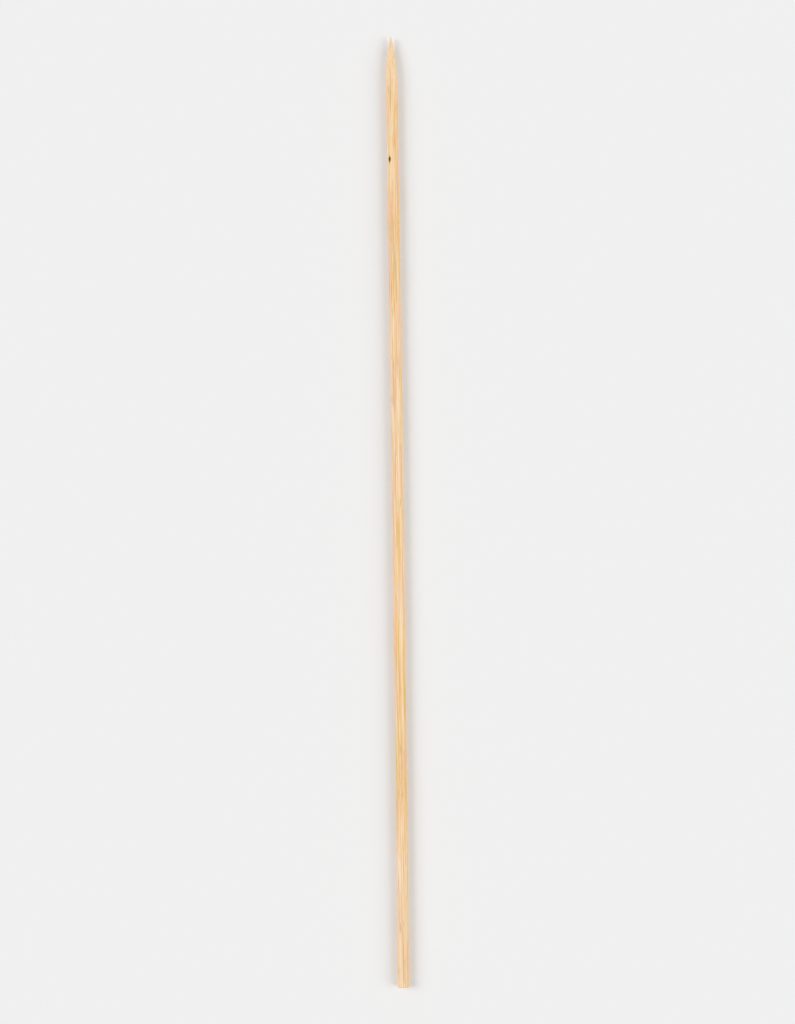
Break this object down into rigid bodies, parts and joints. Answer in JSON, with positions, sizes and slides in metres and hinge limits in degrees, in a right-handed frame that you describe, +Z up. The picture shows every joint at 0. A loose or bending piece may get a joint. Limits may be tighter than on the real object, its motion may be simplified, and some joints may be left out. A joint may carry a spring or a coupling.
{
  "type": "wooden skewer",
  "caption": "Long thin round bamboo stick, ground to a tapering point at one end and sawn square at the other, for threading food on a grill.",
  "frame": {"origin": "on the surface that the skewer lies on, below the middle of its length", "axes": "+Y along the stick towards the point, +Z up out of the surface, +X to the right seen from above with the point away from the viewer"},
  "size_m": [0.0032, 0.25, 0.0029],
  "materials": {
    "bamboo": "dry, unvarnished, matt straw-coloured bamboo with fine lengthwise fibres"
  },
  "bodies": {
    "root": {"skewer": "bamboo"}
  },
  "joints": []
}
